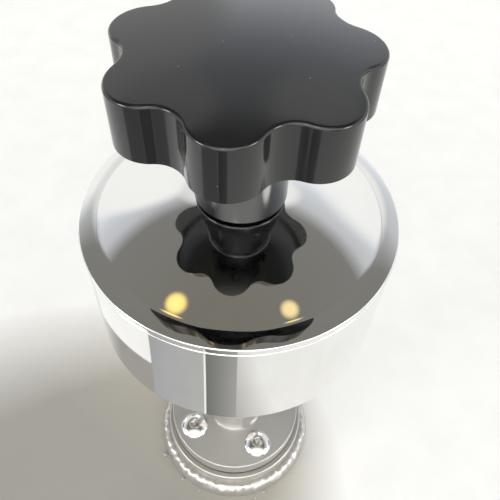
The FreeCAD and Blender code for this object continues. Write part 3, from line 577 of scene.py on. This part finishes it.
class VALVE_OT_drum(bpy.types.Operator):
    """Polished dome, shell and bottom plate of the drum"""
    bl_idname = "valve.drum"
    bl_label = "Polished Drum"

    def execute(self, context):
        sizes = context.scene.valve_drum
        chrome = stock_finish("drum_chrome")
        radius = high("dome_cover").x
        shell_top = high("drum_shell").z
        rim = shell_top + sizes.rim
        hole = low("dome_bush").x * -0.72
        edge = radius - sizes.shoulder
        sag = sizes.rise - sizes.drop
        ball = (sag ** 2 + edge ** 2) / (2 * sag)

        def height(r):
            return rim + sizes.rise - ball + math.sqrt(ball ** 2 - r ** 2)

        outer = [(hole - hole * 0.05, height(hole))]
        outer += [(hole + (edge - hole) * i / 40, height(hole + (edge - hole) * i / 40))
                  for i in range(41)]
        outer += self.shoulder(sizes, edge, height(edge), radius, rim)
        inner = radius - sizes.wall
        profile = outer + [
            (radius, shell_top + 0.0001, sizes.seam), (inner, shell_top + 0.0001),
            (inner, shell_top - sizes.lip), (inner - sizes.wall, shell_top - sizes.lip),
            (inner - sizes.wall, rim - sizes.wall), (edge, height(edge) - sizes.wall),
            (hole - hole * 0.05, height(hole) - sizes.wall)]
        bm = bmesh.new()
        lathe(bm, profile, steps=256)
        dome = finish_mesh(bm, "dome_polished", "root", chrome)
        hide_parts("dome_cover")

        bottom = low("drum_shell").z
        bm = bmesh.new()
        lathe(bm, [(radius, bottom, 0.5 * MM), (radius, shell_top - 0.0001, sizes.seam),
                   (inner, shell_top - 0.0001), (inner, bottom, 0.4 * MM)], steps=256)
        shell = finish_mesh(bm, "shell_polished", "root", chrome)
        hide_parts("drum_shell")

        plate_low = low("drum_plate").z
        plate_top = high("drum_plate").z
        bore = high("bonnet_seal").x
        bm = bmesh.new()
        lathe(bm, [(bore, plate_low), (inner - 0.02 * MM, plate_low, 0.5 * MM),
                   (inner - 0.02 * MM, plate_top), (bore, plate_top)])
        plate = finish_mesh(bm, "drum_bottom", "root", chrome)
        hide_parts("drum_plate")
        return {"FINISHED"}

    def shoulder(self, sizes, edge, edge_height, radius, rim):
        """Arc of the shoulder, then the rounded corner of the rim."""
        chord = Vector((radius - edge, rim - edge_height))
        middle = Vector((edge, edge_height)) + chord / 2
        rise = math.sqrt(sizes.shoulder_round ** 2 - (chord.length / 2) ** 2)
        inwards = Vector((chord.y, -chord.x)).normalized()
        centre = middle + inwards * rise
        first = math.degrees(math.atan2(edge_height - centre.y, edge - centre.x))
        last = math.degrees(math.atan2(rim - centre.y, radius - centre.x))
        points = arc(centre, sizes.shoulder_round, first, last, 12)[1:]
        return points[:-1] + [(*points[-1], 0.5 * MM)]


class VALVE_OT_body(bpy.types.Operator):
    """Stem, chamber, inlet boss and fitting of the valve body"""
    bl_idname = "valve.body"
    bl_label = "Valve Body"

    def execute(self, context):
        sizes = context.scene.valve_foot
        steel = stock_finish("body_steel")
        bottom = low("foot_flange").z
        top = high("foot_flange").z
        edge = high("foot_flange").x
        stem = high("stem_tube").x
        bm = bmesh.new()
        lathe(bm, [(stem - 0.3 * MM, bottom), (edge, bottom, sizes.edge), (edge, top, sizes.edge),
                   (stem + 1.6 * MM, top), (stem + 0.5 * MM, top + 0.5 * MM),
                   (stem - 0.1 * MM, top + 1.6 * MM), (stem - 0.3 * MM, top)])
        flange = finish_mesh(bm, "flange_turned", "root", steel)
        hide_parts("foot_flange")

        bottom = low("stem_tube").z
        top = high("stem_tube").z
        bm = bmesh.new()
        lathe(bm, [(sizes.passage, bottom), (stem, bottom), (stem, top, 0.3 * MM),
                   (sizes.passage, top, 0.3 * MM)], steps=128)
        tube = finish_mesh(bm, "stem_turned", "root", steel)
        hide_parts("stem_tube")

        bottom = low("valve_body").z
        socket = high("stem_tube").z
        top = high("valve_body").z
        radius = high("valve_body").x
        chamber = high("bonnet_seal").x
        floor = high("seat_seal").z - 0.1 * MM
        port = (low("inlet_washer").z + high("inlet_washer").z) / 2
        boss_end = low("inlet_washer").y
        bm = bmesh.new()
        lathe(bm, [
            (stem, bottom), (sizes.neck, bottom, 0.6 * MM),
            (radius, bottom + sizes.taper, 0.8 * MM), (radius, top, 0.4 * MM), (chamber, top),
            (chamber, floor), (sizes.passage, floor), (sizes.passage, socket), (stem, socket)])
        boss = high("inlet_washer").x + 1.1 * MM
        verts = lathe(bm, [
            (0.0, chamber + 1.5 * MM), (boss, chamber + 1.5 * MM),
            (boss, boss_end, 0.7 * MM), (6.5 * MM, boss_end), (6.5 * MM, boss_end - 6 * MM),
            (0.0, boss_end - 6 * MM)], steps=96)
        lay_along_y(bm, verts, port)
        piece = finish_mesh(bm, "body_turned", "root", steel)
        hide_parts("valve_body")

        washer_end = high("inlet_washer").y
        mouth_end = high("inlet_fitting").y
        bm = bmesh.new()
        flat = high("inlet_fitting").x * math.cos(math.radians(30))
        corner = high("inlet_fitting").x
        verts = lathe(bm, [
            (3.0 * MM, boss_end - 6 * MM), (6.4 * MM, boss_end - 6 * MM),
            (6.4 * MM, washer_end), (corner - 0.7 * MM, washer_end),
            (corner, washer_end + 0.45 * MM), (corner, mouth_end - 0.45 * MM),
            (corner - 0.7 * MM, mouth_end), (4.9 * MM, mouth_end), (4.3 * MM, mouth_end - 0.6 * MM),
            (4.3 * MM, mouth_end - 8 * MM), (3.0 * MM, mouth_end - 8 * MM)], steps=96)
        for vert in verts:
            reach = math.hypot(vert.co.x, vert.co.y)
            limit = hexagon_reach(math.atan2(vert.co.y, vert.co.x), flat)
            if reach > 6.6 * MM and reach > limit:
                vert.co.x *= limit / reach
                vert.co.y *= limit / reach
        lay_along_y(bm, verts, port)
        fitting = finish_mesh(bm, "inlet_hexagon", "root", steel)
        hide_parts("inlet_fitting")
        return {"FINISHED"}


class VALVE_OT_foot(bpy.types.Operator):
    """Welded pad, gasket, weld bead and button head screws"""
    bl_idname = "valve.foot"
    bl_label = "Welded Foot"

    def execute(self, context):
        sizes = context.scene.valve_foot
        pad = high("weld_pad").x
        pad_top = high("weld_pad").z
        gasket_top = high("base_gasket").z
        bm = bmesh.new()
        lathe(bm, [(sizes.outlet, 0.0, 0.3 * MM), (pad, 0.0), (pad, pad_top, 0.8 * MM),
                   (sizes.passage, pad_top), (sizes.passage, sizes.outlet_depth),
                   (sizes.outlet, sizes.outlet_depth)])
        piece = finish_mesh(bm, "pad_turned", "root", stock_finish("foot_steel"))
        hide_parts("weld_pad")
        bm = bmesh.new()
        lathe(bm, [(sizes.passage, pad_top), (high("base_gasket").x, pad_top, 0.25 * MM),
                   (high("base_gasket").x, gasket_top, 0.25 * MM), (sizes.passage, gasket_top)])
        gasket = finish_mesh(bm, "gasket_sheet", "root",
                             stock_finish("gasket_black"))
        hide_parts("base_gasket")
        self.bead(pad)
        self.screws(sizes)
        return {"FINISHED"}

    def bead(self, pad):
        """Rippled fillet weld with a little spatter beside it."""
        reach = high("weld_bead").x - pad
        height = high("weld_bead").z
        bm = bmesh.new()
        section = [(pad - 0.6 * MM, 0.0), (pad + reach, 0.0)]
        section += [(pad + reach * math.cos(t) ** 0.8, height * math.sin(t) ** 0.9)
                    for t in (math.radians(a) for a in range(12, 90, 11))]
        section += [(pad - 0.6 * MM, height * 0.98)]
        lathe(bm, section, steps=420)
        ripples = 54
        for vert in bm.verts:
            if vert.co.z < 1e-6:
                lift = 0.25
            else:
                lift = 1.0
            turn = math.atan2(vert.co.y, vert.co.x)
            radius = math.hypot(vert.co.x, vert.co.y)
            if radius < pad:
                continue
            climb = vert.co.z / height
            wander = noise.noise(Vector((math.cos(turn), math.sin(turn), 0.0)) * 3.1)
            lag = turn + 0.05 * (1 - climb) + 0.03 * wander
            scallop = abs(math.sin(lag * ripples / 2)) ** 0.7
            lumps = noise.noise(vert.co * 420.0) * 0.35 + wander * 0.6
            grow = lift * (0.35 * scallop + lumps - 0.25) * 0.8 * MM
            outward = Vector((vert.co.x / radius, vert.co.y / radius, 0.0))
            vert.co += outward * grow
            if vert.co.z > 1e-6:
                vert.co.z = max(0.2 * MM, vert.co.z + grow * 0.8 * climb)
        draw = random.Random(7)
        for _ in range(16):
            turn = draw.uniform(0, math.tau)
            spot = pad + reach + draw.uniform(0.3, 2.6) * MM
            size = draw.uniform(0.25, 0.6) * MM
            drop = bmesh.ops.create_icosphere(bm, subdivisions=2, radius=size)["verts"]
            bmesh.ops.scale(bm, verts=drop, vec=(1.0, 1.0, 0.6))
            bmesh.ops.translate(bm, verts=drop, vec=(spot * math.cos(turn), spot * math.sin(turn),
                                                     size * 0.4))
            for vert in drop:
                vert.co.z = max(0.0, vert.co.z)
        bmesh.ops.recalc_face_normals(bm, faces=bm.faces)
        piece = finish_mesh(bm, "weld_seam", "root", stock_finish("weld_metal"),
                            math.radians(60))
        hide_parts("weld_bead")

    def screws(self, sizes):
        seat = high("flange_screws").z - sizes.head_height
        bottom = low("flange_screws").z
        dome = sizes.head_height - sizes.head_edge
        ball = (sizes.head ** 2 + dome ** 2) / (2 * dome)
        rim = sizes.socket / math.cos(math.radians(30)) + 0.25 * MM
        crown = seat + sizes.head_height

        def height(r):
            return crown - ball + math.sqrt(ball ** 2 - r ** 2)

        bm = bmesh.new()
        for number in range(sizes.bolts):
            turn = sizes.bolt_angle + number * math.tau / sizes.bolts
            profile = [(0.0, bottom), (2.5 * MM, bottom, 0.3 * MM), (2.5 * MM, seat),
                       (sizes.head, seat, 0.15 * MM), (sizes.head, seat + sizes.head_edge)]
            reaches = [sizes.head - (sizes.head - rim) * i / 10 for i in range(1, 11)]
            profile += [(r, height(r)) for r in reaches]
            flat = sizes.socket
            profile += [(flat + 0.08 * MM, height(rim) - 0.05 * MM),
                        (flat, height(rim) - 0.2 * MM),
                        (flat, height(rim) - sizes.socket_depth),
                        (0.0, height(rim) - sizes.socket_depth - 0.5 * MM)]
            verts = lathe(bm, profile, steps=72, segments=3)
            spin = 0.35 + number * 1.9
            for vert in verts:
                around = math.atan2(vert.co.y, vert.co.x)
                radius = math.hypot(vert.co.x, vert.co.y)
                inside = radius < flat + 0.1 * MM and radius > flat * 0.9
                if inside and vert.co.z > height(rim) - sizes.socket_depth - 0.1 * MM:
                    scale = hexagon_reach(around, flat) / flat
                    vert.co.x *= scale
                    vert.co.y *= scale
            bmesh.ops.rotate(bm, verts=verts, cent=(0, 0, 0), matrix=Matrix.Rotation(spin, 3, "Z"))
            bmesh.ops.translate(bm, verts=verts, vec=(sizes.bolt_circle * math.cos(turn),
                                                      sizes.bolt_circle * math.sin(turn), 0.0))
        piece = finish_mesh(bm, "button_screws", "root",
                            stock_finish("screw_steel"))
        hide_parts("flange_screws")


class VALVE_OT_finishes(bpy.types.Operator):
    """Finishes of the CAD pieces that stay as they are"""
    bl_idname = "valve.finishes"
    bl_label = "Inner Pieces' Finishes"

    def execute(self, context):
        slots = {entry["node"]: entry["material_slot"] for entry in frame["record"]["subparts"]}
        for name, item in frame["nodes"].items():
            material = stock_finish(slots[name])
            if not item.material_slots:
                item.data.materials.append(material)
            for material_slot in item.material_slots:
                material_slot.material = material
        return {"FINISHED"}


class VALVE_OT_stage(bpy.types.Operator):
    """Pale floor, soft lights and the camera"""
    bl_idname = "valve.stage"
    bl_label = "Stage"

    def execute(self, context):
        sizes = context.scene.valve_stage
        self.camera(context, sizes)
        self.floor(context, sizes)
        self.sky(context, sizes)
        self.lights(context)
        context.scene.view_settings.view_transform = "Standard"
        return {"FINISHED"}

    def camera(self, context, sizes):
        camera = bpy.data.cameras.new("camera")
        camera.lens = sizes.lens
        camera.sensor_width = 36.0
        camera.clip_start = 0.005
        holder = bpy.data.objects.new("camera", camera)
        context.scene.collection.objects.link(holder)
        rim = high("drum_shell").z + context.scene.valve_drum.rim
        place = Vector((0.0, -sizes.distance * math.cos(sizes.elevation),
                        rim + sizes.distance * math.sin(sizes.elevation)))
        turn = (Matrix.Rotation(math.pi / 2 - sizes.elevation, 4, "X")
                @ Matrix.Rotation(sizes.pan, 4, "Y")
                @ Matrix.Rotation(-sizes.tilt, 4, "X")
                @ Matrix.Rotation(sizes.roll, 4, "Z"))
        holder.matrix_world = Matrix.Translation(place) @ turn
        context.scene.camera = holder

    def floor(self, context, sizes):
        """Pale floor, warmer and darker near the foot (partly the plate's own grey, partly painted
        shade under the drum), and the cards the metal mirrors.
        """
        bm = bmesh.new()
        bmesh.ops.create_grid(bm, x_segments=2, y_segments=2, size=sizes.floor)
        bmesh.ops.translate(bm, verts=bm.verts, vec=(0, 0, -0.2 * MM))
        finish = Finish("pale_floor", sizes.floor_colour, 0.0, 0.6)
        reach = finish.node("ShaderNodeSeparateXYZ")
        finish.join(finish.polar(), reach.inputs[0])
        split = finish.node("ShaderNodeSeparateXYZ")
        finish.join(finish.place, split.inputs[0])
        right = finish.math("MULTIPLY", split.outputs[0], 0.7)
        back = finish.math("MULTIPLY", split.outputs[1], 0.5)
        away = finish.math("ADD", finish.math("ADD", reach.outputs[0], right), back)
        side = finish.math("ADD", split.outputs[0], finish.math("MULTIPLY", split.outputs[1], 1.2))
        # Painted shade: the floor is darkened round the foot and further to its left. This stands
        # partly for the drum's shade and partly for the grey plate.
        near = finish.blend(finish.spread(side, -0.060, -0.022, 0.0, 1.0),
                            sizes.left_plate_and_shade_colour[:], sizes.foot_plate_and_shade_colour[:])
        whole = finish.blend(finish.spread(away, 0.026, 0.066, 0.0, 1.0), near,
                             sizes.floor_colour[:])
        patch = finish.spread(finish.noise(60.0, 4.0), 0.3, 0.7, 0.92, 1.0)
        finish.base(finish.blend(patch, (0.45, 0.44, 0.41), whole))
        finish.roughness(finish.spread(finish.noise(14.0, 4.0), 0.3, 0.7, 0.5, 0.7))
        self.flat(context, bm, "floor", finish.material)
        for name, turn, width, start, end, first, last in CARDS:
            self.card(context, name, math.radians(turn), math.radians(width), start, end, first,
                      last)
        for number, (turn, width, shade) in enumerate(FLAGS):
            self.flag(context, "flag_%d" % number, math.radians(turn), math.radians(width), shade)

    def card(self, context, name, turn, width, start, end, first, last):
        """A sector of a ring, 2 mm above the floor, seen only in the metal."""
        bm = bmesh.new()
        steps = 12
        rows = [[bm.verts.new((reach * math.cos(turn + width * i / steps),
                               reach * math.sin(turn + width * i / steps), 2 * MM))
                 for i in range(steps + 1)] for reach in (start, end)]
        for i in range(steps):
            bm.faces.new((rows[0][i], rows[1][i], rows[1][i + 1], rows[0][i + 1]))
        finish = Finish(name, first, 0.0, 0.7)
        split = finish.node("ShaderNodeSeparateXYZ")
        finish.join(finish.place, split.inputs[0])
        around = finish.math("ARCTAN2", split.outputs[1], split.outputs[0])
        shade = finish.blend(finish.spread(around, turn, turn + width, 0.0, 1.0), first, last)
        finish.base(finish.blend(finish.spread(finish.noise(40.0, 3.0), 0.3, 0.7, 0.92, 1.0),
                                 (0.2, 0.2, 0.2), shade))
        card = self.flat(context, bm, name, finish.material)
        card.visible_camera = False
        card.visible_shadow = False
        card.visible_diffuse = False

    def flag(self, context, name, turn, width, shade):
        """An upright dark card that gives the polished drum its edges from the side."""
        bm = bmesh.new()
        steps = 8
        rows = [[bm.verts.new((FLAG_REACH * math.cos(turn + width * (i / steps - 0.5)),
                               FLAG_REACH * math.sin(turn + width * (i / steps - 0.5)), z))
                 for i in range(steps + 1)] for z in (0.0, FLAG_HEIGHT)]
        for i in range(steps):
            bm.faces.new((rows[0][i], rows[0][i + 1], rows[1][i + 1], rows[1][i]))
        finish = Finish(name, shade, 0.0, 0.9)
        finish.base(finish.blend(finish.spread(finish.noise(9.0, 3.0), 0.3, 0.7, 0.0, 1.0), shade,
                                 tuple(c * 1.6 for c in shade)))
        flag = self.flat(context, bm, name, finish.material)
        flag.visible_camera = False
        flag.visible_shadow = False
        flag.visible_diffuse = False

    def flat(self, context, bm, name, material):
        mesh = bpy.data.meshes.new(name)
        bm.to_mesh(mesh)
        bm.free()
        mesh.materials.append(material)
        sheet = bpy.data.objects.new(name, mesh)
        context.scene.collection.objects.link(sheet)
        return sheet

    def sky(self, context, sizes):
        """Bright round the horizon, dim and warm overhead, with warm lamps near the top."""
        world = bpy.data.worlds.new("studio")
        world.use_nodes = True
        context.scene.world = world
        tree = world.node_tree
        spot = tree.nodes.new("ShaderNodeTexCoord").outputs["Generated"]

        def dot(direction):
            node = tree.nodes.new("ShaderNodeVectorMath")
            node.operation = "DOT_PRODUCT"
            tree.links.new(spot, node.inputs[0])
            node.inputs[1].default_value = direction
            return node.outputs["Value"]

        ramp = tree.nodes.new("ShaderNodeValToRGB")
        tree.links.new(dot(sizes.sky_tilt), ramp.inputs["Fac"])
        band = ramp.color_ramp
        while len(band.elements) < len(SKY):
            band.elements.new(0.5)
        for element, (degrees, shade) in zip(band.elements, SKY):
            element.position = math.sin(math.radians(degrees))
            element.color = (*shade, 1.0)
        total = ramp.outputs["Color"]
        for turn, rise, reach, share, shade in LAMPS:
            turn = math.radians(turn)
            rise = math.radians(rise)
            near = tree.nodes.new("ShaderNodeMapRange")
            near.interpolation_type = "SMOOTHSTEP"
            tree.links.new(dot((math.cos(turn) * math.cos(rise), math.sin(turn) * math.cos(rise),
                                math.sin(rise))), near.inputs["Value"])
            near.inputs["From Min"].default_value = math.cos(math.radians(reach))
            near.inputs["From Max"].default_value = math.cos(math.radians(reach * share))
            glow = tree.nodes.new("ShaderNodeMix")
            glow.data_type = "RGBA"
            tree.links.new(near.outputs["Result"], glow.inputs["Factor"])
            tree.links.new(total, glow.inputs[6])
            glow.inputs[7].default_value = (*shade, 1.0)
            total = glow.outputs[2]
        ground = tree.nodes["Background"]
        tree.links.new(total, ground.inputs["Color"])
        ground.inputs["Strength"].default_value = 1.0

    def lights(self, context):
        self.area(context, "fill_left", (-1.3, -0.5, 1.5), 1.6, 2.0, (1.0, 0.99, 0.97), False)
        self.area(context, "fill_right", (1.4, -0.2, 1.3), 1.6, 2.0, (0.98, 0.99, 1.0), False)
        self.area(context, "fill_back", (0.1, 1.6, 1.4), 1.8, 8.0, (1.0, 1.0, 1.0), False)

    def area(self, context, name, place, size, power, tint, mirrored):
        light = bpy.data.lights.new(name, "AREA")
        light.shape = "DISK"
        light.size = size
        light.energy = power
        light.color = tint
        holder = bpy.data.objects.new(name, light)
        context.scene.collection.objects.link(holder)
        away = Vector(place) - Vector((0.0, 0.0, 0.1))
        holder.matrix_world = (Matrix.Translation(Vector(place))
                               @ away.to_track_quat("Z", "Y").to_matrix().to_4x4())
        holder.visible_glossy = mirrored


class VALVE_PT_panel(bpy.types.Panel):
    """Sizes and steps of the valve"""
    bl_idname = "VALVE_PT_panel"
    bl_label = "Flow Control Valve"
    bl_space_type = "VIEW_3D"
    bl_region_type = "UI"
    bl_category = "Valve"

    def draw(self, context):
        for group in GROUPS:
            box = self.layout.box()
            holder = getattr(context.scene, GROUPS[group])
            for name in group.__annotations__:
                box.prop(holder, name)
        for operator in OPERATORS:
            self.layout.operator(operator.bl_idname)


GROUPS = {
    KnobSizes: "valve_knob",
    DrumSizes: "valve_drum",
    FootSizes: "valve_foot",
    StageSizes: "valve_stage",
}
OPERATORS = (VALVE_OT_stage, VALVE_OT_finishes, VALVE_OT_knob, VALVE_OT_drum, VALVE_OT_body,
             VALVE_OT_foot)


def register():
    for group, name in GROUPS.items():
        bpy.utils.register_class(group)
        setattr(bpy.types.Scene, name, PointerProperty(type=group))
    for item in (*OPERATORS, VALVE_PT_panel):
        bpy.utils.register_class(item)


def unregister():
    for item in (VALVE_PT_panel, *reversed(OPERATORS)):
        bpy.utils.unregister_class(item)
    for group, name in GROUPS.items():
        delattr(bpy.types.Scene, name)
        bpy.utils.unregister_class(group)


def main():
    register()
    bpy.ops.valve.stage()
    bpy.ops.valve.finishes()
    bpy.ops.valve.knob()
    bpy.ops.valve.drum()
    bpy.ops.valve.body()
    bpy.ops.valve.foot()


if __name__ == "__main__":
    main()
